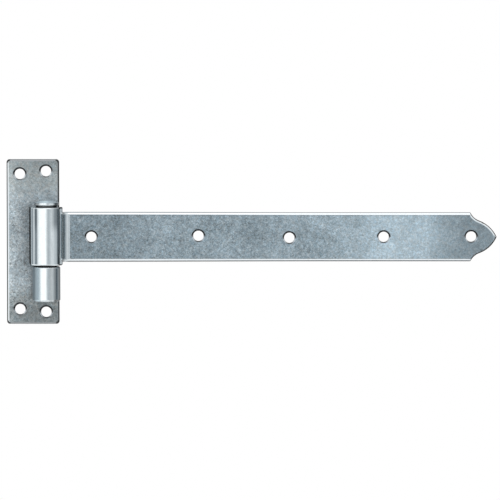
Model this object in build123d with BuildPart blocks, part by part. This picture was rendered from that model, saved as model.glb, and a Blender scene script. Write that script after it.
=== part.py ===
from build123d import *
import os
from math import acos, asin, degrees

# A hook and band hinge of zinc-plated steel: a small screw plate whose tongue is rolled into a
# knuckle and holds the pin, and a long strap with a spear end whose rolled eye turns on that pin.
# The origin is the middle of the plate's back face. +Z runs up the pin, +Y goes into the wood.

# Plate of the hook
plate_width = 35.0
plate_height = 110.0
plate_thickness = 2.5
plate_corner_radius = 2.0
plate_edge_round = 1.2

# Screw holes, punched from the front, which draws their front edge in
screw_hole_diameter = 7.0
hole_edge_round = 1.2
plate_hole_inset = 8.8
left_holes_end_inset = 9.85
right_holes_end_inset = 8.0

# Pin, with its low head above the band's eye
pin_diameter = 13.5
pin_inset = 8.0
pin_tail_chamfer = 0.6
head_diameter = 16.7
head_rim_height = 2.0
head_dome_height = 1.7
head_lower_round = 1.0
head_upper_round = 0.6

# Knuckle of the hook, rolled from the plate's tongue
knuckle_length = 23.2
knuckle_end_inset = 16.2
tongue_bend_radius = 1.0
tongue_foot = 1.0
tongue_root_wall = 0.5
tongue_window_gap = 0.3
knuckle_seam_gap = 0.8

# Band: a flat strap, a bend, a short wall and the rolled eye
band_thickness = 4.0
band_reach = 299.6
neck_width = 33.3
tail_width = 32.65
taper_end = 195.0
strap_drop = 1.2
band_bend_radius = 4.6
band_edge_round = 1.7
eye_length = 38.6
eye_edge_round = 1.0
eye_seam_gap = 0.6
shoulder_radius = 0.8
shoulder_stand = 1.5

# Spear end of the strap: a hollow curve that turns into a round one, up to the point
spear_length = 17.5
spear_turn_share = 0.665
spear_turn_slope = 20.0
spear_point_radius = 1.0
spear_edge_round = 0.8

# Screw holes of the band: the first one's distance from the pin's axis and the last one's from the
# point, then each hole's share of the way between those two and its height above the strap's middle
first_hole_reach = 29.4
last_hole_inset = 17.0
band_holes = [(0.0, 0.0), (0.282, 0.7), (0.5213, -0.6), (0.7698, 0.0), (1.0, 0.2)]

# Clearances
running_clearance = 0.05
eye_plate_gap = 0.6
eye_knuckle_gap = 0.7
eye_head_gap = 1.0

# For picking edges: lengths this close count as the same, and an edge with this share of its
# direction along X runs lengthwise
same_length = 0.01
lengthwise_share = 0.9

# Levels and radii that follow from these
pin_radius = pin_diameter / 2
knuckle_outer_radius = pin_radius + plate_thickness
eye_bore_radius = pin_radius + running_clearance
eye_outer_radius = eye_bore_radius + band_thickness
pin_x = plate_width / 2 - pin_inset
pin_depth = plate_thickness + eye_plate_gap + eye_outer_radius
knuckle_bottom = knuckle_end_inset - plate_height / 2
knuckle_top = knuckle_bottom + knuckle_length
eye_bottom = knuckle_top + eye_knuckle_gap
eye_top = eye_bottom + eye_length
strap_middle = (eye_bottom + eye_top) / 2 - strap_drop
head_underside = eye_top + eye_head_gap
os.makedirs("parts", exist_ok=True)


def rolled_wall(thickness, bore_radius, wall_end, seam_gap):
    # Seen from above, with the pin's axis at the origin: a wall that stands at the right of the pin
    # and the roll that goes on from it, over the pin's front and round behind.
    outer_radius = bore_radius + thickness
    roll_end = degrees(acos((bore_radius - seam_gap) / outer_radius))
    with BuildSketch() as section:
        with BuildLine():
            outer_roll = CenterArc((0, 0), outer_radius, roll_end, 360 - roll_end)
            inner_roll = CenterArc((0, 0), bore_radius, roll_end, 360 - roll_end)
            Line(outer_roll @ 0, inner_roll @ 0)
            Polyline((outer_radius, 0), (outer_radius, wall_end), (bore_radius, wall_end), (bore_radius, 0))
        make_face()
    return section.sketch


def bent_foot(thickness, bore_radius, bend_radius, foot_reach, wall_start):
    # The same wall from a given depth on, the bend at its back, and the foot that runs from the bend
    # to the right, with its back in the plane that the hinge is screwed to.
    outer_radius = bore_radius + thickness
    front = pin_depth - thickness
    bend_x = outer_radius + bend_radius
    bend_y = front - bend_radius
    with BuildSketch() as section:
        with BuildLine():
            Polyline(
                (bore_radius, bend_y),
                (bore_radius, wall_start),
                (outer_radius, wall_start),
                (outer_radius, bend_y),
            )
            CenterArc((bend_x, bend_y), bend_radius, 90, 90)
            Polyline((bend_x, front), (foot_reach, front), (foot_reach, pin_depth), (bend_x, pin_depth))
            CenterArc((bend_x, bend_y), bend_radius + thickness, 90, 90)
        make_face()
    return section.sketch


def roll_edges(builder, outer_radius):
    # The two end edges of a roll's outer skin. A round on them runs on by itself along the wall,
    # which is tangent to the roll.
    circles = builder.edges().filter_by(GeomType.CIRCLE)
    return circles.filter_by(lambda edge: abs(edge.radius - outer_radius) < same_length)


def punched_edges(builder, front_y):
    # The front edges of the screw holes.
    circles = builder.edges().filter_by(GeomType.CIRCLE)
    hole_radius = screw_hole_diameter / 2
    holes = circles.filter_by(lambda edge: abs(edge.radius - hole_radius) < same_length)
    return holes.filter_by(lambda edge: abs(edge.center().Y - front_y) < same_length)


# Hook plate: the tongue is rolled first, so that only the edges of its roll are rounded with it
tongue_reach = knuckle_outer_radius + tongue_bend_radius + tongue_foot
tongue_root_start = pin_depth - plate_thickness - tongue_bend_radius - tongue_root_wall
window_height = knuckle_length + 2 * tongue_window_gap
window_left = pin_x - tongue_reach
knuckle_base = Plane((pin_x, -pin_depth, knuckle_bottom))

with BuildPart() as hook_plate:
    with BuildSketch(knuckle_base):
        add(rolled_wall(plate_thickness, pin_radius, tongue_root_start, knuckle_seam_gap))
        mirror(about=Plane.YZ, mode=Mode.REPLACE)
    extrude(amount=knuckle_length)
    fillet(roll_edges(hook_plate, knuckle_outer_radius), plate_edge_round)
    with BuildSketch(knuckle_base):
        add(bent_foot(plate_thickness, pin_radius, tongue_bend_radius, tongue_reach, tongue_root_start))
        mirror(about=Plane.YZ, mode=Mode.REPLACE)
    extrude(amount=knuckle_length)

    with BuildSketch(Plane.XZ):
        RectangleRounded(plate_width, plate_height, plate_corner_radius)
        with Locations((window_left, knuckle_bottom - tongue_window_gap)):
            Rectangle(plate_width, window_height, align=Align.MIN, mode=Mode.SUBTRACT)
    extrude(amount=plate_thickness)
    front_edges = hook_plate.edges().filter_by_position(Axis.Y, -plate_thickness, -plate_thickness)
    outline_edges = front_edges.filter_by(
        lambda edge: abs(edge.center().X) > plate_width / 2 - plate_corner_radius
        or abs(edge.center().Z) > plate_height / 2 - plate_corner_radius
    )
    fillet(outline_edges, plate_edge_round)

    hole_x = plate_width / 2 - plate_hole_inset
    with BuildSketch(Plane.XZ):
        with Locations((-hole_x, 0)):
            with GridLocations(0, plate_height - 2 * left_holes_end_inset, 1, 2):
                Circle(screw_hole_diameter / 2)
        with Locations((hole_x, 0)):
            with GridLocations(0, plate_height - 2 * right_holes_end_inset, 1, 2):
                Circle(screw_hole_diameter / 2)
    extrude(amount=plate_thickness, mode=Mode.SUBTRACT)
    fillet(punched_edges(hook_plate, -plate_thickness), hole_edge_round)

# Hook pin: turned, with a rounded rim and a low dome
head_radius = head_diameter / 2
rim_top = head_underside + head_rim_height
head_top = rim_top + head_dome_height
dome_radius = (head_radius**2 + head_dome_height**2) / (2 * head_dome_height)
dome_angle = degrees(asin(head_radius / dome_radius))

with BuildPart() as hook_pin:
    with BuildSketch(Plane((pin_x, -pin_depth, 0), x_dir=(1, 0, 0), z_dir=(0, -1, 0))):
        with BuildLine():
            Polyline(
                (0, head_top),
                (0, knuckle_bottom),
                (pin_radius - pin_tail_chamfer, knuckle_bottom),
                (pin_radius, knuckle_bottom + pin_tail_chamfer),
                (pin_radius, head_underside),
                (head_radius, head_underside),
                (head_radius, rim_top),
            )
            CenterArc((0, head_top - dome_radius), dome_radius, 90 - dome_angle, dome_angle)
        profile = make_face()
        rim_corners = profile.vertices().group_by(Axis.X)[-1].sort_by(Axis.Y)
        fillet(rim_corners[0], head_lower_round)
        fillet(rim_corners[-1], head_upper_round)
    revolve(axis=Axis((pin_x, -pin_depth, 0), (0, 0, 1)))

# Eye of the band, longer than the strap is wide, with a hollow shoulder at each end of its wall
neck_half = neck_width / 2
tail_half = tail_width / 2
bend_end = eye_outer_radius + band_bend_radius
wall_end = pin_depth - band_thickness - band_bend_radius
cut_reach = band_reach + eye_length
eye_side = Plane((pin_x, -pin_depth, strap_middle), x_dir=(0, 1, 0), z_dir=(1, 0, 0))
strap_face = Plane((pin_x, 0, strap_middle), x_dir=(1, 0, 0), z_dir=(0, -1, 0))

with BuildPart() as eye:
    with BuildSketch(Plane((pin_x, -pin_depth, eye_bottom))):
        add(rolled_wall(band_thickness, eye_bore_radius, wall_end, eye_seam_gap))
    extrude(amount=eye_length)
    fillet(roll_edges(eye, eye_outer_radius), eye_edge_round)
    with BuildSketch(eye_side.offset(eye_bore_radius - eye_seam_gap / 2)):
        with Locations((shoulder_stand, neck_half)):
            shoulder = Rectangle(pin_depth, eye_length, align=Align.MIN)
        fillet(shoulder.vertices().group_by(Axis.Y)[0].sort_by(Axis.X)[0], shoulder_radius)
        mirror(about=Plane.XZ)
    extrude(amount=bend_end, mode=Mode.SUBTRACT)

# Band: the strap with its bend and wall, its long edges rounded, its end cut to a spear
taper_middle = ((bend_end + taper_end) / 2, (neck_half + tail_half) / 2)
hole_span = band_reach - last_hole_inset - first_hole_reach
hole_places = [(first_hole_reach + share * hole_span, height) for share, height in band_holes]
spear_x = band_reach - spear_length
spear_turn = (band_reach - spear_length * spear_turn_share, tail_half * spear_turn_share)
turn_tangent = Vector(1, 0).rotate(Axis.Z, -spear_turn_slope)

with BuildPart() as band:
    with BuildSketch(Plane((pin_x, -pin_depth, strap_middle - neck_half))):
        add(bent_foot(band_thickness, eye_bore_radius, band_bend_radius, band_reach, 0))
    extrude(amount=neck_width)
    with BuildSketch(strap_face):
        with BuildLine():
            TangentArc((bend_end, neck_half), taper_middle, tangent=(1, 0))
            TangentArc((taper_end, tail_half), taper_middle, tangent=(-1, 0))
            Polyline(
                (taper_end, tail_half),
                (cut_reach, tail_half),
                (cut_reach, eye_length),
                (bend_end, eye_length),
                (bend_end, neck_half),
            )
        make_face()
        mirror(about=Plane.XZ)
    extrude(amount=band_thickness, mode=Mode.SUBTRACT)
    front_edges = band.edges().filter_by_position(Axis.Y, -band_thickness, -band_thickness)
    long_edges = front_edges.filter_by(lambda edge: abs(edge.tangent_at(0.5).X) > lengthwise_share)
    fillet(long_edges, band_edge_round)

    with BuildSketch(strap_face):
        with BuildLine():
            TangentArc(spear_turn, (band_reach, 0), tangent=turn_tangent)
            TangentArc(spear_turn, (spear_x, tail_half), tangent=-turn_tangent)
            Polyline(
                (spear_x, tail_half),
                (spear_x, eye_length),
                (cut_reach, eye_length),
                (cut_reach, 0),
                (band_reach, 0),
            )
        make_face()
        mirror(about=Plane.XZ)
    extrude(amount=band_thickness, mode=Mode.SUBTRACT)
    fillet(band.edges().filter_by(Axis.Y).sort_by(Axis.X)[-1], spear_point_radius)
    front_edges = band.edges().filter_by_position(Axis.Y, -band_thickness, -band_thickness)
    fillet(front_edges.filter_by(GeomType.CIRCLE).sort_by(Axis.X)[-1], spear_edge_round)
    add(eye.part)

    with BuildSketch(strap_face):
        with Locations(*hole_places):
            Circle(screw_hole_diameter / 2)
    extrude(amount=band_thickness, mode=Mode.SUBTRACT)
    fillet(punched_edges(band, -band_thickness), hole_edge_round)

hook_plate.part.label = "hook_plate"
hook_pin.part.label = "hook_pin"
band.part.label = "band"
export_step(hook_plate.part, "parts/hook_plate.step")
export_step(hook_pin.part, "parts/hook_pin.step")
export_step(band.part, "parts/band.step")
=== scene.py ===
import bpy
import bmesh
import math
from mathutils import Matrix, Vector


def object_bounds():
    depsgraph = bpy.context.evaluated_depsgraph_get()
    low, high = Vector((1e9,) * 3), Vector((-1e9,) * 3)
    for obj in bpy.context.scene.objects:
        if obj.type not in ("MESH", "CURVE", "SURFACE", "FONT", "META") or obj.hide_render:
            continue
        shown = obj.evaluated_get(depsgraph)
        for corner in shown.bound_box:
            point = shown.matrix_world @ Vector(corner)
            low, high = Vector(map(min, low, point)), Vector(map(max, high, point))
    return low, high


# Hook and band hinge in zinc-plated steel: the pieces come from the frame, this file gives them
# their finish, the floor, the light and the camera. Lengths are metres, those of the finishes are mm.

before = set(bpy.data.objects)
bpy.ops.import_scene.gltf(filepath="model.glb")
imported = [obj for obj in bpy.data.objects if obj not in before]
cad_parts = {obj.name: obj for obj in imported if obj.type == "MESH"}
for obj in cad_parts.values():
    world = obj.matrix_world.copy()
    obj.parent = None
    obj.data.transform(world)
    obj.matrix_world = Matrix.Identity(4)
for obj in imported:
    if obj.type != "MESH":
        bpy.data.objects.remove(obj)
scene = bpy.context.scene
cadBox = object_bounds()
print("frame loaded:", ", ".join(sorted(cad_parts)))


# Camera: straight on from a long way off, a little above the hinge
cameraView = {
    "target": (0.1447, 0.0, -0.0057),   # the point on the hinge's back plane that is in the middle
    "elevation": 3.5,                   # degrees
    "distance": 2.67,
    "focalPixels": 4000,                # focal length in pixels of the photograph
    "photoWidth": 500,
    "sensor": 36.0,
    "clip": (0.05, 50.0),
}


def addCamera(view):
    rise = math.radians(view["elevation"])
    back = Vector((0.0, -math.cos(rise), math.sin(rise)))
    data = bpy.data.cameras.new("camera")
    data.sensor_width = view["sensor"]
    data.lens = view["sensor"] * view["focalPixels"] / view["photoWidth"]
    data.clip_start, data.clip_end = view["clip"]
    camera = bpy.data.objects.new("camera", data)
    camera.location = Vector(view["target"]) + back * view["distance"]
    camera.rotation_euler = (math.pi / 2 - rise, 0.0, 0.0)
    scene.collection.objects.link(camera)
    scene.camera = camera


addCamera(cameraView)
print("camera set")


# Small helpers for node trees
def addNode(tree, kind, sockets=None, **settings):
    node = tree.nodes.new(kind)
    for name, value in settings.items():
        setattr(node, name, value)
    for name, value in (sockets or {}).items():
        feed(tree, node.inputs[name], value)
    return node


def feed(tree, socket, value):
    if isinstance(value, bpy.types.NodeSocket):
        tree.links.new(value, socket)
    elif socket.type == "RGBA":
        socket.default_value = (*value, 1.0)
    else:
        socket.default_value = value


def calc(tree, operation, *values):
    node = tree.nodes.new("ShaderNodeMath")
    node.operation = operation
    for socket, value in zip(node.inputs, values):
        feed(tree, socket, value)
    return node.outputs[0]


def fade(tree, value, start, end):
    # 0 before the start, 1 after the end
    node = addNode(tree, "ShaderNodeMapRange", {"Value": value, "From Min": start, "From Max": end})
    node.interpolation_type = "SMOOTHSTEP"
    return node.outputs["Result"]


def blendColors(tree, factor, first, second, mode="MIX"):
    node = tree.nodes.new("ShaderNodeMix")
    node.data_type = "RGBA"
    node.blend_type = mode
    feed(tree, node.inputs["Factor"], factor)
    colors = [socket for socket in node.inputs if socket.type == "RGBA"]
    feed(tree, colors[0], first)
    feed(tree, colors[1], second)
    return [socket for socket in node.outputs if socket.type == "RGBA"][0]


def blendValues(tree, factor, first, second):
    node = addNode(tree, "ShaderNodeMapRange", {"Value": factor, "To Min": first, "To Max": second})
    return node.outputs["Result"]


def ramp(tree, factor, stops):
    node = addNode(tree, "ShaderNodeValToRGB", {"Fac": factor})
    elements = node.color_ramp.elements
    while len(elements) < len(stops):
        elements.new(0.5)
    for element, (place, color) in zip(elements, stops):
        element.position = place
    for element, (place, color) in zip(elements, stops):
        element.color = (*color, 1.0)
    return node.outputs["Color"]


def grey(level):
    return (level, level, level)


def newMaterial(name):
    material = bpy.data.materials.new(name)
    material.use_nodes = True
    material.node_tree.nodes.clear()
    return material


# Masks: values from 0 to 1 that say where a colour or a roughness holds
def product(tree, *values):
    result = values[0]
    for value in values[1:]:
        result = calc(tree, "MULTIPLY", result, value)
    return result


def most(tree, *values):
    result = values[0]
    for value in values[1:]:
        result = calc(tree, "MAXIMUM", result, value)
    return result


def flip(tree, value):
    return calc(tree, "SUBTRACT", 1.0, value)


def magnitude(tree, value):
    return calc(tree, "ABSOLUTE", value)


def strip(tree, value, edges):
    # 1 between two soft edges
    return product(tree, fade(tree, value, edges[0], edges[1]), fade(tree, value, edges[3], edges[2]))


def distance(tree, place, centre):
    node = addNode(tree, "ShaderNodeVectorMath", {0: place, 1: centre}, operation="DISTANCE")
    return node.outputs["Value"]


def course(tree, value, stops):
    # a share that changes along one direction; it may go up to 2, so the ramp holds half of it
    first, last = stops[0][0], stops[-1][0]
    along = addNode(tree, "ShaderNodeMapRange", {"Value": value, "From Min": first, "From Max": last})
    halves = [((spot - first) / (last - first), grey(share / 2)) for spot, share in stops]
    return product(tree, ramp(tree, along.outputs["Result"], halves), 2.0)


def courses(tree, at, look):
    return product(tree, *(course(tree, at[axis], stops) for axis, stops in look.items()))


def dim(tree, color, share):
    return blendColors(tree, 1.0, color, share, "MULTIPLY")


def tinted(tree, mask, color, tint):
    return blendColors(tree, mask, color, dim(tree, color, tint))


# Light: white all round, which the camera and the metal both see. Grey gauzes hang in front of it far
# away, as a ball that the camera doesn't see, and dim or brighten what reaches the hinge. Each stop is
# a bearing in degrees, from the camera's side to the right of the picture, and what comes through.
studio = {
    "ring": [
        (-180, 0.75), (-160, 0.70), (-142, 0.60), (-131, 0.56), (-118, 0.22), (-106, 0.50),
        (-95, 0.80), (-85, 0.40), (-76, 0.14), (-67, 0.48), (-58, 0.92), (-48, 1.12),
        (-38, 1.28), (-6, 1.28), (1, 1.02), (7, 0.76), (13, 0.58), (20, 0.52),
        (31, 0.66), (42, 0.80), (56, 0.74), (66, 0.58), (75, 0.58), (84, 0.48), (93, 0.10),
        (104, 0.10), (113, 0.45), (121, 0.60), (135, 0.60), (160, 0.70), (180, 0.75),
    ],
    "roof": [(-180, 0.75), (-112, 0.70), (-92, 1.00), (86, 1.00), (106, 0.70), (180, 0.75)],
    "apron": [
        (-180, 0.50), (-110, 0.50), (-80, 1.25), (25, 1.25), (50, 0.50), (90, 0.30), (180, 0.50),
    ],
    "roofBand": (0.10, 0.42),           # sines of the elevations where the ring gives way to the roof
    "apronBand": (-0.13, -0.22),        # and below, to the apron
    "tint": (1.09, 0.94),               # powers of red and blue: the darker the gauze, the bluer
    "reach": 20.0,                      # from the hinge to the gauzes
    "segments": (64, 32),
}
topLamp = {
    "size": 1.0,
    "height": 1.25,
    "forward": 0.85,
    "light": 1.0,                       # where the white all round has 1
}


def bearingRamp(tree, bearing, stops):
    return ramp(tree, bearing, [((degrees + 180) / 360, grey(level)) for degrees, level in stops])


def addWorld():
    world = bpy.data.worlds.new("white_all_round")
    world.use_nodes = True
    scene.world = world
    tree = world.node_tree
    tree.nodes.clear()
    white = addNode(tree, "ShaderNodeBackground", {"Color": grey(1.0), "Strength": 1.0})
    addNode(tree, "ShaderNodeOutputWorld", {"Surface": white.outputs[0]})


def gauzeMaterial(light):
    material = newMaterial("studio_gauze")
    material.cycles.emission_sampling = "NONE"
    tree = material.node_tree
    place = addNode(tree, "ShaderNodeTexCoord").outputs["Object"]
    direction = addNode(tree, "ShaderNodeVectorMath", {0: place}, operation="NORMALIZE")
    split = addNode(tree, "ShaderNodeSeparateXYZ", {"Vector": direction.outputs["Vector"]})
    forward = calc(tree, "MULTIPLY", split.outputs["Y"], -1.0)
    turn = calc(tree, "ARCTAN2", split.outputs["X"], forward)
    bearing = calc(tree, "MULTIPLY_ADD", turn, 0.5 / math.pi, 0.5)
    color = bearingRamp(tree, bearing, light["ring"])
    for band, stops in (("roofBand", light["roof"]), ("apronBand", light["apron"])):
        share = fade(tree, split.outputs["Z"], *light[band])
        color = blendColors(tree, share, color, bearingRamp(tree, bearing, stops))
    level = calc(tree, "MINIMUM", color, 1.0)
    red, blue = (calc(tree, "POWER", level, power) for power in light["tint"])
    dimmed = addNode(tree, "ShaderNodeCombineColor", {"Red": red, "Green": level, "Blue": blue})
    through = addNode(tree, "ShaderNodeBsdfTransparent", {"Color": dimmed.outputs["Color"]})
    # a gauze can only dim, so what is above 1 glows
    extra = calc(tree, "MAXIMUM", calc(tree, "SUBTRACT", color, 1.0), 0.0)
    glow = addNode(tree, "ShaderNodeEmission", {"Color": grey(1.0), "Strength": extra})
    shader = addNode(tree, "ShaderNodeAddShader", {0: through.outputs[0], 1: glow.outputs[0]})
    addNode(tree, "ShaderNodeOutputMaterial", {"Surface": shader.outputs[0]})
    return material


def addGauzes(light):
    across, down = light["segments"]
    ball = bmesh.new()
    bmesh.ops.create_uvsphere(ball, u_segments=across, v_segments=down, radius=light["reach"])
    mesh = bpy.data.meshes.new("studio_gauzes")
    ball.to_mesh(mesh)
    ball.free()
    mesh.materials.append(gauzeMaterial(light))
    gauzes = bpy.data.objects.new("studio_gauzes", mesh)
    gauzes.visible_camera = False
    scene.collection.objects.link(gauzes)


def addTopLamp(lamp):
    data = bpy.data.lights.new("top_softbox", "AREA")
    data.shape = "SQUARE"
    data.size = lamp["size"]
    data.energy = lamp["light"] * math.pi * lamp["size"] ** 2
    softbox = bpy.data.objects.new("top_softbox", data)
    softbox.location = (cameraView["target"][0], -lamp["forward"], lamp["height"])
    softbox.rotation_euler = (-math.atan2(lamp["forward"], lamp["height"]), 0.0, 0.0)
    softbox.visible_camera = False
    scene.collection.objects.link(softbox)


addWorld()
addGauzes(studio)
addTopLamp(topLamp)
print("light set")


# Floor: pale, it keeps the hinge's soft shadow and fades out to the white all round. The metal sees
# it as the camera does. From below it is clear, so that the hinge can be looked at from there too.
floorLook = {
    "drop": 0.20,                       # below the plate's lower end
    "radius": 1.5,
    "segments": 64,
    "color": (0.86, 0.86, 0.86),
    "ownWhite": 0.35,                   # share of plain white in what shows of it, in the middle
    "whiteFrom": (0.25, 0.60),          # from the middle, where it fades to plain white
}


def floorMaterial(look, centre):
    material = newMaterial("pale_floor")
    tree = material.node_tree
    place = addNode(tree, "ShaderNodeTexCoord").outputs["Object"]
    away = fade(tree, distance(tree, place, centre), *look["whiteFrom"])
    path = addNode(tree, "ShaderNodeLightPath").outputs
    shown = most(tree, path["Is Camera Ray"], path["Is Glossy Ray"], path["Is Transmission Ray"])
    share = calc(tree, "MULTIPLY", shown, blendValues(tree, away, look["ownWhite"], 1.0))
    pale = addNode(tree, "ShaderNodeBsdfDiffuse", {"Color": look["color"]}).outputs[0]
    white = addNode(tree, "ShaderNodeEmission", {"Color": grey(1.0), "Strength": 1.0}).outputs[0]
    front = addNode(tree, "ShaderNodeMixShader", {0: share, 1: pale, 2: white}).outputs[0]
    clear = addNode(tree, "ShaderNodeBsdfTransparent", {"Color": grey(1.0)}).outputs[0]
    fromBelow = addNode(tree, "ShaderNodeNewGeometry").outputs["Backfacing"]
    shader = addNode(tree, "ShaderNodeMixShader", {0: fromBelow, 1: front, 2: clear}).outputs[0]
    addNode(tree, "ShaderNodeOutputMaterial", {"Surface": shader})
    return material


def addFloor(look):
    level = cadBox[0].z - look["drop"]
    middle = (cadBox[0] + cadBox[1]) / 2
    centre = (middle.x, middle.y, level)
    shape = bmesh.new()
    bmesh.ops.create_circle(shape, cap_ends=True, segments=look["segments"], radius=look["radius"])
    bmesh.ops.translate(shape, vec=centre, verts=shape.verts)
    mesh = bpy.data.meshes.new("floor")
    shape.to_mesh(mesh)
    shape.free()
    mesh.materials.append(floorMaterial(look, centre))
    floor = bpy.data.objects.new("floor", mesh)
    scene.collection.objects.link(floor)


addFloor(floorLook)
print("floor laid")


# Zinc. Flat faces keep the sheet's dull grain, what was rolled or bent is smooth and bright, and
# sheared rims carry painted shade and light: dark where they face down. A pair of values says where
# something starts and where it is full; those named facing are one part of the face's normal.
zinc = {
    "grainShares": {"clouds": 0.50, "mottle": 0.75, "grain": 1.55},
    "toneStops": (0.1, 0.5, 0.9),       # of the dark, the middle and the light of a flat face
    "tints": [(0.3, (0.93, 1.00, 1.05)), (0.7, (1.07, 1.00, 0.96))],
    "flatRoughness": (0.38, 0.50),
    "formed": (0.80, 0.86, 0.885),
    "formedShares": (0.6, 0.4),         # of the streaks and the spots
    "formedLevels": (0.70, 1.30),
    "streakLength": 10.0,               # times their width
    "formedRoughness": 0.09,
    "proud": (0.15, 0.9),               # what is rolled or bent stands this far in front of the flat
    "roundedFacing": (0.999, 0.992),    # of the rims' rounding
    "frontFacing": (0.0, -0.5),
    "cutFacing": (0.12, 0.04),          # of the sheared walls of the sheet
    "cut": (0.30, 0.34, 0.37),
    "rim": [                            # painted shade of a hole's rim, from where it looks down to where it looks up
        (-1.0, 0.05), (-0.20, 0.05), (0.05, 0.28), (0.30, 0.95), (0.66, 0.82), (0.88, 0.30),
        (1.0, 0.18),
    ],
    "rimTint": (0.93, 1.0, 1.05),
    "rimSlope": (0.30, 0.60),
    "rimDown": (0.15, -0.10),
    "rimRoughness": 0.55,
    # near black for painted shade
    "paintedBlack": grey(0.02),
    "bump": {"Strength": 0.25, "Distance": 0.00004},
}

# Sizes are mm, and each seed is added to the piece's own
patterns = {
    "clouds": {"seed": 0.0, "size": 20.0, "detail": 3.0, "roughness": 0.50, "distortion": 0.5},
    "mottle": {"seed": 1.7, "size": 3.2, "detail": 3.0, "roughness": 0.60, "distortion": 0.8},
    "grain": {"seed": 3.4, "size": 1.0, "detail": 2.0, "roughness": 0.60, "distortion": 1.2},
    "tint": {"seed": 7.9, "size": 1.8, "detail": 2.0, "roughness": 0.60, "distortion": 0.5},
    "streaks": {"seed": 9.0, "size": 0.9, "detail": 3.0, "roughness": 0.60, "distortion": 0.0},
    "spots": {"seed": 12.0, "size": 2.0, "detail": 3.0, "roughness": 0.60, "distortion": 0.5},
    "headSpots": {"seed": 0.0, "size": 1.5, "detail": 2.0, "roughness": 0.50, "distortion": 0.0},
}
perMetre = 1000.0
leastSlope = 0.0001                     # squared, so that nothing is divided by 0


def noise(tree, place, look, name):
    pattern = patterns[name]
    sockets = {
        "Vector": place,
        "W": look["seed"] + pattern["seed"],
        "Scale": 1.0 / pattern["size"],
        "Detail": pattern["detail"],
        "Roughness": pattern["roughness"],
        "Distortion": pattern["distortion"],
    }
    return addNode(tree, "ShaderNodeTexNoise", sockets, noise_dimensions="4D").outputs["Fac"]


def surface(tree):
    # where a point is, in mm, and where its face looks, both in the piece's own frame
    coords = addNode(tree, "ShaderNodeTexCoord").outputs
    scaled = addNode(tree, "ShaderNodeMapping", {"Vector": coords["Object"], "Scale": (perMetre,) * 3})
    place = scaled.outputs["Vector"]
    at = addNode(tree, "ShaderNodeSeparateXYZ", {"Vector": place}).outputs
    facing = addNode(tree, "ShaderNodeSeparateXYZ", {"Vector": coords["Normal"]}).outputs
    return place, at, facing


def faceMasks(tree, at, facing, look):
    # what is rounded, sheared, looks to the front, and stands in front of the flat face
    squareOn = magnitude(tree, facing["Y"])
    start, end = (look["flatFront"] - step for step in zinc["proud"])
    return (
        fade(tree, squareOn, *zinc["roundedFacing"]),
        fade(tree, squareOn, *zinc["cutFacing"]),
        fade(tree, facing["Y"], *zinc["frontFacing"]),
        fade(tree, at["Y"], start, end),
    )


def flatZinc(tree, place, at, look):
    # colour, roughness and relief of the flat faces
    change = 0.0
    layers = {name: noise(tree, place, look, name) for name in zinc["grainShares"]}
    for name, share in zinc["grainShares"].items():
        change = calc(tree, "MULTIPLY_ADD", calc(tree, "SUBTRACT", layers[name], 0.5), share, change)
    tone = calc(tree, "MULTIPLY_ADD", change, courses(tree, at, look["calm"]), 0.5)
    color = ramp(tree, tone, list(zip(zinc["toneStops"], look["tones"])))
    color = dim(tree, color, ramp(tree, noise(tree, place, look, "tint"), zinc["tints"]))
    color = dim(tree, color, courses(tree, at, look["along"]))
    roughness = blendValues(tree, layers["mottle"], *zinc["flatRoughness"])
    return color, roughness, calc(tree, "ADD", layers["mottle"], layers["grain"])


def formedZinc(tree, place, look):
    # smooth zinc with the fine upright streaks of the rolling
    drawn = (1.0, 1.0, 1.0 / zinc["streakLength"])
    along = addNode(tree, "ShaderNodeMapping", {"Vector": place, "Scale": drawn}).outputs["Vector"]
    lines = noise(tree, along, look, "streaks")
    spots = noise(tree, place, look, "spots")
    lineShare, spotShare = zinc["formedShares"]
    both = calc(tree, "MULTIPLY_ADD", lines, lineShare, product(tree, spots, spotShare))
    return dim(tree, zinc["formed"], blendValues(tree, both, *zinc["formedLevels"]))


def rimFacing(tree, facing):
    # how steep a rounded rim is, and which way it looks round its edge
    flatness = calc(tree, "MULTIPLY", facing["Y"], facing["Y"])
    slope = calc(tree, "SQRT", calc(tree, "MAXIMUM", flip(tree, flatness), leastSlope))
    return slope, calc(tree, "DIVIDE", facing["X"], slope), calc(tree, "DIVIDE", facing["Z"], slope)


def holeRimShadeColor(tree, slope, upward, flat):
    # painted shade and light: dark where the rim looks down, else it grows out of the flat face into a
    # painted light or dull inner edge
    height = calc(tree, "MULTIPLY_ADD", upward, 0.5, 0.5)
    stops = [
        ((level + 1) / 2, tuple(share * part for part in zinc["rimTint"]))
        for level, share in zinc["rim"]
    ]
    deep = most(tree, fade(tree, slope, *zinc["rimSlope"]), fade(tree, upward, *zinc["rimDown"]))
    return blendColors(tree, deep, flat, ramp(tree, height, stops))


def finishMaterial(tree, color, roughness, height, dead):
    # where dead is 1, in the darkest corners and the painted shadows, the metal doesn't brighten even
    # when seen edge on
    bump = addNode(tree, "ShaderNodeBump", {**zinc["bump"], "Height": height})
    metal = {
        "Base Color": color,
        "Metallic": 1.0,
        "Roughness": roughness,
        "Specular Tint": blendColors(tree, dead, grey(1.0), grey(0.0)),
        "Normal": bump.outputs["Normal"],
    }
    shader = addNode(tree, "ShaderNodeBsdfPrincipled", metal)
    addNode(tree, "ShaderNodeOutputMaterial", {"Surface": shader.outputs[0]})


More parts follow.
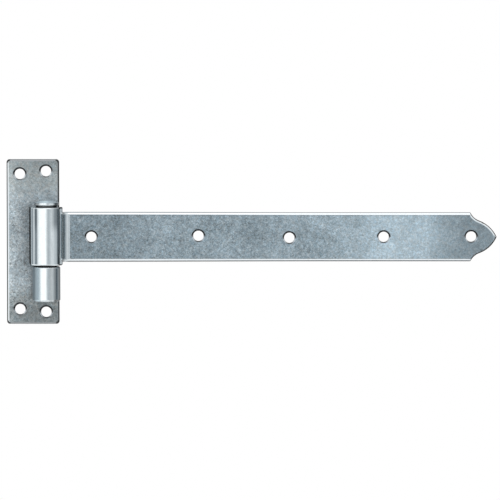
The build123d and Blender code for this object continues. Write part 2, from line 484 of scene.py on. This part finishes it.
# The band: a strap with a spear at its far end and the eye at the near one
bandLook = {
    "seed": 3.0,
    "tones": ((0.114, 0.147, 0.160), (0.290, 0.358, 0.399), (0.519, 0.631, 0.702)),
    "along": {                          # how light the flat face is
        "X": [
            (20, 1.02), (35, 0.86), (75, 0.92), (100, 1.05), (150, 0.98), (180, 1.06), (200, 1.22),
            (240, 1.56), (262, 1.50), (275, 1.15), (288, 0.90), (310, 0.89),
        ],
    },
    # how strong its grain is
    "calm": {"X": [(20, 1.05), (190, 0.95), (235, 0.62), (285, 0.60), (310, 0.80)]},
    "flatFront": -4.0,                  # level of the flat front face
    "bend": (24.9, 24.4),               # where the flat strap ends and the bend begins
    "strapMiddle": 3.2,
    "longEdge": (14.2, 14.6),           # from the strap's middle out to its rounded long edges
    "lengthwiseFacing": (0.35, 0.20),
    "darkLine": (13.9, 14.3),           # a thin painted dark line inside them
    "darkLineShare": 0.16,
    "lowLine": (14.45, 14.75),          # and where the painted highlight of the lower one begins
    "lowHalf": (0.0, -1.0),
    # colour of the painted highlights on the strap's rounded long edges
    "edgeLight": (0.90, 0.95, 0.98),
    "outermost": [(0.60, 0.85, 0.55), (-0.45, -0.60, 0.84)],    # painted shade: facing up or down, share of black on the outermost rounded edge
    "wall": [                           # painted reflections: how light the eye and the wall at its right are
        (0, 1.0), (16.2, 1.0), (17.0, 0.85), (17.7, 0.42), (18.3, 0.30), (18.75, 0.38), (19.0, 1.05),
        (19.5, 1.05), (19.8, 0.70), (20.1, 0.18), (20.6, 0.40), (21.3, 0.74), (22.0, 0.86),
        (22.8, 0.88), (23.4, 0.94), (24.0, 1.10), (30, 1.0),
    ],
    "eyeLeft": (9.5, 7.5),
    "rollLine": (-18.1, -17.5, -15.6, -15.0),   # a painted shadow line down the eye's left side
    "rollFacing": (0.75, 0.45),
    "wallLine": (18.5, 18.8, 19.2, 19.5),       # and a dull one down its right
    "wallLineRoughness": 0.55,
    "wallEndX": (17.9, 18.4),           # the wall's two sheared ends are painted dark as shade
    "wallEndY": (-12.5, -13.5),
    "wallEndFacing": (0.98, 0.94),
    "wallTop": (22.7, 23.1),
    "wallBottom": (-13.9, -14.3),
    "topSides": [((12.0, 16.2, 17.0, 17.8), 0.62), ((1.8, 2.5, 3.4, 4.2), 0.45)],
    "topSideZ": (5.0, 15.0),            # painted shade: the eye's two sides are darker near its top
    "topSideColor": (0.10, 0.13, 0.15),
    "lastHole": (292.1, -4.0, 3.4),
    "lastHoleRim": (5.3, 5.8),
    "spearStart": (286.0, 287.0),
    "notch": (291.0, 291.6),            # where the straight long edges end
    "spearTurn": (297.3, 297.6),        # where the outline turns from hollow to full
    "hollowCentre": (301.0, -4.0, 23.7),        # of the upper edge's arcs, with their lines' radii
    "hollowLine": (11.9, 11.5),
    "fullCentre": (290.5, -4.0, -5.1),
    "fullLine": (18.7, 19.1),
    "upperHalf": (3.6, 4.6),
    # colour of the painted highlight along the spear's upper edge
    "spearLight": (0.80, 0.88, 0.92),
    # the spear's rim has painted light where it looks up and painted shade elsewhere
    "spearRimSlope": (0.50, 0.30),
    "spearRimUp": (0.05, 0.20),
    "spearRim": (0.06, 0.85),
}


def strapLines(tree, flat, at, side, frontFace, look):
    # a thin painted dark line follows the rounded long edges, and the lower one's painted highlight
    # begins on the flat
    darkLineMask = product(tree, fade(tree, side, *look["darkLine"]), look["darkLineShare"])
    flat = blendColors(tree, darkLineMask, flat, zinc["paintedBlack"])
    notchEnd, notchStart = look["notch"][1], look["notch"][0]
    light = product(
        tree,
        fade(tree, side, *look["lowLine"]),
        fade(tree, at["Z"], *look["lowHalf"]),
        frontFace,
        fade(tree, at["X"], notchEnd, notchStart),
    )
    return blendColors(tree, light, flat, look["edgeLight"])


def eyeShadows(tree, at, facing, look):
    # painted shadow: black down the eye's left side and on the ends of its wall
    upright = magnitude(tree, facing["Z"])
    rollLine = product(
        tree,
        fade(tree, at["X"], *look["eyeLeft"]),
        strip(tree, at["Y"], look["rollLine"]),
        fade(tree, upright, *look["rollFacing"]),
    )
    wallEnds = product(
        tree,
        fade(tree, at["X"], *look["wallEndX"]),
        fade(tree, at["Y"], *look["wallEndY"]),
        fade(tree, upright, *look["wallEndFacing"]),
        most(tree, fade(tree, at["Z"], *look["wallTop"]), fade(tree, at["Z"], *look["wallBottom"])),
    )
    return most(tree, rollLine, wallEnds)


def bandBright(tree, place, at, facing, longEdge, proud, black, look):
    # painted reflections along X on the formed zinc
    bright = dim(tree, formedZinc(tree, place, look), course(tree, at["X"], look["wall"]))
    # painted shade near the top of the eye's two sides
    sides = [product(tree, strip(tree, at["X"], edges), share) for edges, share in look["topSides"]]
    topSide = product(tree, most(tree, *sides), fade(tree, at["Z"], *look["topSideZ"]), proud)
    bright = blendColors(tree, topSide, bright, look["topSideColor"])
    # painted highlight on the rounded long edges
    bright = blendColors(tree, product(tree, longEdge, flip(tree, proud)), bright, look["edgeLight"])
    # painted black on the outermost part of the rounded long edges
    lines = [
        product(tree, fade(tree, facing["Z"], start, end), share)
        for start, end, share in look["outermost"]
    ]
    outermost = product(tree, longEdge, most(tree, *lines))
    bright = blendColors(tree, outermost, bright, zinc["paintedBlack"])
    return blendColors(tree, black, bright, zinc["paintedBlack"])


def spearUpperLine(tree, place, at, frontFace, look):
    # a painted highlight along the spear's upper edge; the dark one outside it is the spear's rim,
    # with painted shade
    full = fade(tree, at["X"], *look["spearTurn"])
    fromFull = distance(tree, place, look["fullCentre"])
    fromHollow = distance(tree, place, look["hollowCentre"])
    fullLine = product(tree, full, fade(tree, fromFull, *look["fullLine"]))
    hollowLine = product(
        tree,
        flip(tree, full),
        fade(tree, at["X"], *look["notch"]),
        fade(tree, fromHollow, *look["hollowLine"]),
    )
    above = fade(tree, at["Z"], *look["upperHalf"])
    return product(tree, above, most(tree, fullLine, hollowLine), frontFace)


def bandMaterial(look):
    material = newMaterial("band_zinc_finish")
    tree = material.node_tree
    place, at, facing = surface(tree)
    flat, roughness, height = flatZinc(tree, place, at, look)
    rounded, cut, frontFace, proud = faceMasks(tree, at, facing, look)
    side = magnitude(tree, calc(tree, "SUBTRACT", at["Z"], look["strapMiddle"]))
    lengthwise = fade(tree, magnitude(tree, facing["X"]), *look["lengthwiseFacing"])
    longEdge = product(tree, fade(tree, side, *look["longEdge"]), lengthwise, rounded)
    formed = most(tree, proud, fade(tree, at["X"], *look["bend"]), longEdge)
    rim = product(tree, rounded, flip(tree, formed))
    black = eyeShadows(tree, at, facing, look)
    bright = bandBright(tree, place, at, facing, longEdge, proud, black, look)
    flat = strapLines(tree, flat, at, side, frontFace, look)
    spearLine = spearUpperLine(tree, place, at, frontFace, look)
    flat = blendColors(tree, spearLine, flat, look["spearLight"])

    slope, across, upward = rimFacing(tree, facing)
    # painted light on the spear's rim where it looks up, painted shade elsewhere
    lit = product(
        tree,
        fade(tree, slope, *look["spearRimSlope"]),
        fade(tree, upward, *look["spearRimUp"]),
    )
    spearRim = blendColors(tree, cut, blendValues(tree, lit, *look["spearRim"]), zinc["cut"])
    onSpear = product(
        tree,
        fade(tree, at["X"], *look["spearStart"]),
        fade(tree, distance(tree, place, look["lastHole"]), *look["lastHoleRim"]),
    )
    sheared = blendColors(tree, onSpear, holeRimShadeColor(tree, slope, upward, flat), spearRim)
    color = blendColors(tree, rim, blendColors(tree, formed, flat, bright), sheared)

    dullWall = product(tree, strip(tree, at["X"], look["wallLine"]), proud)
    formedRoughness = blendValues(tree, dullWall, zinc["formedRoughness"], look["wallLineRoughness"])
    roughness = blendValues(tree, formed, roughness, formedRoughness)
    roughness = blendValues(tree, most(tree, rim, black), roughness, zinc["rimRoughness"])
    dead = most(tree, product(tree, rim, flip(tree, cut)), black)
    finishMaterial(tree, color, roughness, product(tree, height, flip(tree, formed)), dead)
    return material


# The hook's plate with its knuckle
plateLook = {
    "seed": 11.0,
    "tones": ((0.132, 0.150, 0.158), (0.357, 0.410, 0.438), (0.652, 0.730, 0.768)),
    "along": {
        "X": [(-17.5, 1.28), (-13, 1.18), (-7, 1.00), (0, 0.90), (8, 0.86), (14, 0.96), (17.5, 1.00)],
        "Z": [
            (-55, 0.76), (-47, 0.65), (-41, 0.84), (-30, 1.14), (-18, 1.04), (5, 1.02), (30, 1.06),
            (42, 1.00), (50, 0.90), (55, 0.86),
        ],
    },
    "calm": {"Z": [(-55, 0.80), (-42, 0.95), (22, 1.0), (36, 0.66), (55, 0.62)]},
    "flatFront": -2.5,
    "outlineX": (15.9, 16.2),           # from here out the plate's edge is rounded
    "outlineZ": (53.4, 53.7),
    "outlineInner": [(-1.0, 0.90), (-0.5, 0.50), (0.0, 0.40), (1.0, 0.33)],     # painted light and shade by which way the outline faces, left to right
    "outlineOuter": [(-1.0, 0.05), (0.0, 0.26), (1.0, 0.04)],
    "outlineSlope": (0.28, 0.50),
    "outlineTint": (0.94, 1.0, 1.04),
    "outlineRoughness": 0.30,
    # the outline's corners are painted dark as shade
    "cornerX": (14.8, 15.6),
    "cornerZ": (52.3, 53.1),
    "corner": 0.05,
    "paintedShades": [                        # painted shade beside the eye and the knuckle: from the left, from below and from above, and a share
        ((-13.0, -2.0), (-17.0, -13.0), (27.0, 22.0), 0.40),
        ((-4.0, 0.5), (-41.5, -36.0), (-13.0, -16.0), 0.55),
    ],
    "paintedShadeColor": grey(0.03),
    "underEye": (0.2, -13.6),           # the painted shadow round the eye follows its outline, its corner round
    "underEyeRound": (2.85, 2.45),
    "underEyeX": (5.0, -1.6),           # and it fades out behind the eye
    "underEyeZ": (-14.1, -14.9),
    "underEyeTop": (23.6, 22.8),
    "eyeShadowColor": grey(0.01),
    "leftLine": (-15.6, -15.9),         # a painted highlight line inside the plate's left edge
    "leftLineShare": 0.6,
    "leftLineColor": (0.80, 0.86, 0.90),
    "warmEnds": (26.0, 42.0),           # from the middle, where the plate turns a little warmer
    "warmTint": (1.02, 1.0, 0.96),
    "flanks": [                         # painted reflections: how light the knuckle is
        (0.2, 0.60), (0.8, 0.40), (1.2, 0.36), (1.8, 0.48), (2.4, 0.58), (3.1, 0.70), (3.8, 0.90),
        (4.5, 0.85), (5.1, 0.75), (5.8, 0.84), (6.5, 1.0), (11.4, 1.0), (12.0, 0.82), (12.6, 0.72),
        (13.3, 0.72), (13.9, 0.76), (14.6, 0.78), (15.0, 0.65), (15.7, 0.40), (16.3, 0.95),
        (17.0, 0.97), (17.7, 0.42), (18.2, 0.22), (18.7, 0.14), (20.0, 0.14),
    ],
    "leftFlank": (6.5, 4.8),            # the knuckle's left is bluer and its lower right end painted dark as shade
    "leftFlankTint": (0.90, 1.0, 1.05),
    "dullFlank": (6.2, 4.2),            # and duller
    "dullFlankRoughness": 0.32,
    "lowRightX": (14.2, 15.6),
    "lowRightZ": (-37.2, -38.0),
    "lowRightShare": 0.80,
    "tongueX": (1.5, -0.5),             # painted shade behind the knuckle's left
    "tongueY": (-13.0, -10.0),
    "tongue": (0.14, 0.16, 0.17),
}


def plateOutline(tree, across, slope, corners, cut, look):
    # painted light and shade round the outline, by which way it faces
    inner = course(tree, across, look["outlineInner"])
    outer = course(tree, across, look["outlineOuter"])
    color = blendValues(tree, fade(tree, slope, *look["outlineSlope"]), inner, outer)
    color = dim(tree, blendValues(tree, corners, color, look["corner"]), look["outlineTint"])
    return blendColors(tree, cut, color, zinc["cut"])


# where the painted shadow round the eye lies
def eyeShadowMask(tree, at, frontFace, look):
    pastX, pastZ = (
        calc(tree, "MAXIMUM", calc(tree, "SUBTRACT", edge, at[axis]), 0.0)
        for edge, axis in zip(look["underEye"], "XZ")
    )
    corner = addNode(tree, "ShaderNodeCombineXYZ", {"X": pastX, "Y": pastZ}).outputs["Vector"]
    fromCorner = addNode(tree, "ShaderNodeVectorMath", {0: corner}, operation="LENGTH")
    return product(
        tree,
        fade(tree, fromCorner.outputs["Value"], *look["underEyeRound"]),
        most(tree, fade(tree, at["X"], *look["underEyeX"]), fade(tree, at["Z"], *look["underEyeZ"])),
        fade(tree, at["Z"], *look["underEyeTop"]),
        frontFace,
    )


def plateFlat(tree, flat, at, frontFace, underEye, far, look):
    # the plate has painted shade round the eye and beside the two rolls
    paintedShades = [
        product(
            tree,
            fade(tree, at["X"], *fromLeft),
            fade(tree, at["Z"], *fromBelow),
            fade(tree, at["Z"], *fromAbove),
            share,
        )
        for fromLeft, fromBelow, fromAbove, share in look["paintedShades"]
    ]
    flat = blendColors(tree, product(tree, most(tree, *paintedShades), frontFace), flat, look["paintedShadeColor"])
    # painted shadow round the eye
    flat = blendColors(tree, underEye, flat, look["eyeShadowColor"])
    leftLine = product(tree, fade(tree, at["X"], *look["leftLine"]), frontFace, look["leftLineShare"])
    flat = blendColors(tree, leftLine, flat, look["leftLineColor"])
    return tinted(tree, fade(tree, far["Z"], *look["warmEnds"]), flat, look["warmTint"])


def knuckleBright(tree, place, at, look):
    # painted reflections along X on the knuckle's formed zinc
    bright = dim(tree, formedZinc(tree, place, look), course(tree, at["X"], look["flanks"]))
    bright = tinted(tree, fade(tree, at["X"], *look["leftFlank"]), bright, look["leftFlankTint"])
    # painted shade at the knuckle's lower right end
    lowRight = product(
        tree,
        fade(tree, at["X"], *look["lowRightX"]),
        fade(tree, at["Z"], *look["lowRightZ"]),
        look["lowRightShare"],
    )
    bright = blendColors(tree, lowRight, bright, look["paintedShadeColor"])
    # painted shade on the tongue behind the knuckle's left
    tongue = product(
        tree,
        fade(tree, at["X"], *look["tongueX"]),
        fade(tree, at["Y"], *look["tongueY"]),
    )
    return blendColors(tree, tongue, bright, look["tongue"])


def plateMaterial(look):
    material = newMaterial("plate_zinc_finish")
    tree = material.node_tree
    place, at, facing = surface(tree)
    flat, roughness, height = flatZinc(tree, place, at, look)
    rounded, cut, frontFace, proud = faceMasks(tree, at, facing, look)
    rim = product(tree, rounded, flip(tree, proud))
    far = {axis: magnitude(tree, at[axis]) for axis in "XZ"}
    outline = most(tree, *(fade(tree, far[axis], *look["outline" + axis]) for axis in "XZ"))
    corners = product(tree, *(fade(tree, far[axis], *look["corner" + axis]) for axis in "XZ"))
    slope, across, upward = rimFacing(tree, facing)
    outlineColor = plateOutline(tree, across, slope, corners, cut, look)
    underEye = eyeShadowMask(tree, at, frontFace, look)
    flat = plateFlat(tree, flat, at, frontFace, underEye, far, look)
    bright = knuckleBright(tree, place, at, look)
    sheared = blendColors(tree, outline, holeRimShadeColor(tree, slope, upward, flat), outlineColor)
    color = blendColors(tree, rim, blendColors(tree, proud, flat, bright), sheared)

    dullFlank = fade(tree, at["X"], *look["dullFlank"])
    formedRoughness = blendValues(tree, dullFlank, zinc["formedRoughness"], look["dullFlankRoughness"])
    roughness = blendValues(tree, proud, roughness, formedRoughness)
    rimRoughness = blendValues(tree, outline, zinc["rimRoughness"], look["outlineRoughness"])
    roughness = blendValues(tree, rim, roughness, rimRoughness)
    inHoles = product(tree, rim, flip(tree, outline))
    dead = most(tree, inHoles, product(tree, underEye, flip(tree, proud)))
    finishMaterial(tree, color, roughness, product(tree, height, flip(tree, proud)), dead)
    return material


# The hook's pin: its head shows over the eye with painted reflections, its shank is painted dark as
# shade and its lower end plain zinc
pinLook = {
    "seed": 23.0,
    # painted reflections across the head's rim and its dome
    "headRim": [(1.0, 0.40), (3.6, 0.48), (4.9, 1.0), (14.2, 1.0), (15.4, 0.30), (18.0, 0.15)],
    "headDome": [(1.0, 0.45), (4.5, 0.75), (8.8, 1.15), (12.0, 0.85), (17.0, 0.50)],
    "headRoughness": (0.10, 0.18),
    "dome": (26.3, 26.8),               # from the head's rim up to its domed top
    "domeTint": (0.93, 1.0, 1.05),
    "domeRoughness": 0.55,
    # the dome's very top is painted darker, as shade
    "domeTopFacing": (0.975, 0.995),
    "domeTopShare": 0.60,
    "headUnderside": (24.8, 24.4),
    "lowerEnd": (-38.2, -37.8),
    # painted shade on the shank in the gap under the head
    "shank": grey(0.04),
    "shankRoughness": 0.5,
}


def pinMaterial(look):
    material = newMaterial("pin_zinc_finish")
    tree = material.node_tree
    place, at, facing = surface(tree)
    dome = fade(tree, at["Z"], *look["dome"])
    domeTop = product(tree, dome, fade(tree, facing["Z"], *look["domeTopFacing"]))
    shank = product(
        tree,
        fade(tree, at["Z"], *look["headUnderside"]),
        fade(tree, at["Z"], *look["lowerEnd"]),
    )
    rimShade, domeShade = (course(tree, at["X"], look[name]) for name in ("headRim", "headDome"))
    color = dim(tree, formedZinc(tree, place, look), blendValues(tree, dome, rimShade, domeShade))
    color = blendColors(tree, shank, color, look["shank"])
    color = dim(tree, color, blendValues(tree, domeTop, 1.0, look["domeTopShare"]))
    color = tinted(tree, dome, color, look["domeTint"])
    spots = noise(tree, place, look, "headSpots")
    headRoughness = blendValues(tree, spots, *look["headRoughness"])
    roughness = blendValues(tree, dome, headRoughness, look["domeRoughness"])
    roughness = blendValues(tree, shank, roughness, look["shankRoughness"])
    finishMaterial(tree, color, roughness, spots, shank)
    return material


def dress(nodeName, material):
    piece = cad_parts[nodeName]
    for slot in piece.material_slots:
        slot.material = material
    print("finished", nodeName)


dress("band", bandMaterial(bandLook))
dress("hook_plate", plateMaterial(plateLook))
dress("hook_pin", pinMaterial(pinLook))


scene.view_settings.view_transform = "Standard"
